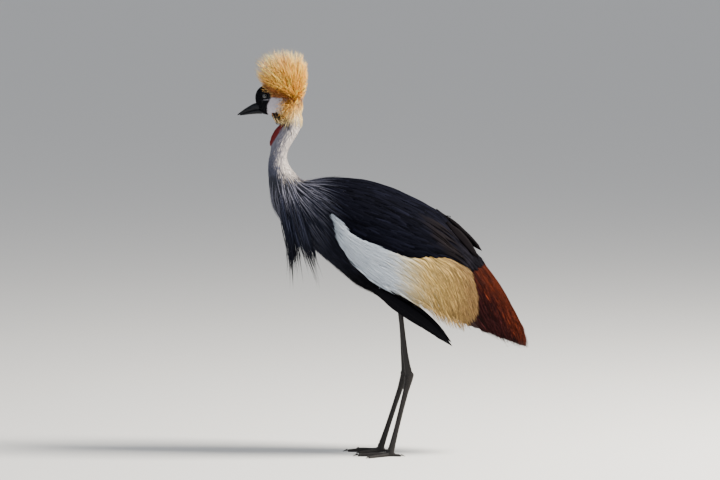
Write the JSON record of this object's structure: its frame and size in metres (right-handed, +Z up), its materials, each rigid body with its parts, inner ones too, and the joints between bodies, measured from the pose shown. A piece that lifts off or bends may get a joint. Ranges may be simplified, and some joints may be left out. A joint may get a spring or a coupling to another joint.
{
  "type": "grey crowned crane",
  "caption": "Life-size still model of a standing grey crowned crane: gold bristle crown, grey neck, dark body, white, straw and maroon folded wings, long dark legs.",
  "frame": {"origin": "on the floor under the middle of the bounding box", "axes": "+Z up; the bird faces -X and its left side is -Y"},
  "size_m": [0.7376, 0.235, 1.031],
  "materials": {
    "bill": "smooth dark slate horn",
    "cap": "black velvet plumage",
    "eye": "wet, pale grey-blue iris round a black pupil",
    "crown": "stiff straw-gold bristles, paler at the tips",
    "wattle": "bare wrinkled red skin",
    "neck": "narrow pearl grey feathers",
    "slate": "long narrow slate grey to blue-black feathers",
    "coverts": "smooth white feathers",
    "straw": "loose straw-gold plumes",
    "chestnut": "loose chestnut maroon plumes",
    "black": "black flight and tail feathers",
    "leg": "dark scaled skin",
    "claw": "dark polished horn"
  },
  "bodies": {
    "root": {"head": "cap", "eye_left": "eye", "eye_right": "eye", "bill_upper": "bill", "bill_lower": "bill", "crown": "crown", "wattle": "wattle", "neck_upper": "neck", "neck_middle": "neck", "neck_lower": "neck", "trunk": "slate", "plume_front": "slate", "plume_left_1": "slate", "plume_left_2": "slate", "plume_right_1": "slate", "plume_right_2": "slate", "wing_left_mantle": "slate", "wing_left_coverts": "coverts", "wing_left_straw": "straw", "wing_left_secondaries": "chestnut", "wing_right_mantle": "slate", "wing_right_coverts": "coverts", "wing_right_straw": "straw", "wing_right_secondaries": "chestnut", "wing_left_primaries": "black", "wing_left_tertials": "slate", "wing_right_primaries": "black", "wing_right_tertials": "slate", "tail": "black", "thigh_left": "slate", "tibia_left": "leg", "tarsus_left": "leg", "toe_left_inner": "leg", "claw_left_inner": "claw", "toe_left_middle": "leg", "claw_left_middle": "claw", "toe_left_outer": "leg", "claw_left_outer": "claw", "toe_left_hind": "leg", "claw_left_hind": "claw", "thigh_right": "slate", "tibia_right": "leg", "tarsus_right": "leg", "toe_right_inner": "leg", "claw_right_inner": "claw", "toe_right_middle": "leg", "claw_right_middle": "claw", "toe_right_outer": "leg", "claw_right_outer": "claw", "toe_right_hind": "leg", "claw_right_hind": "claw"}
  },
  "joints": []
}
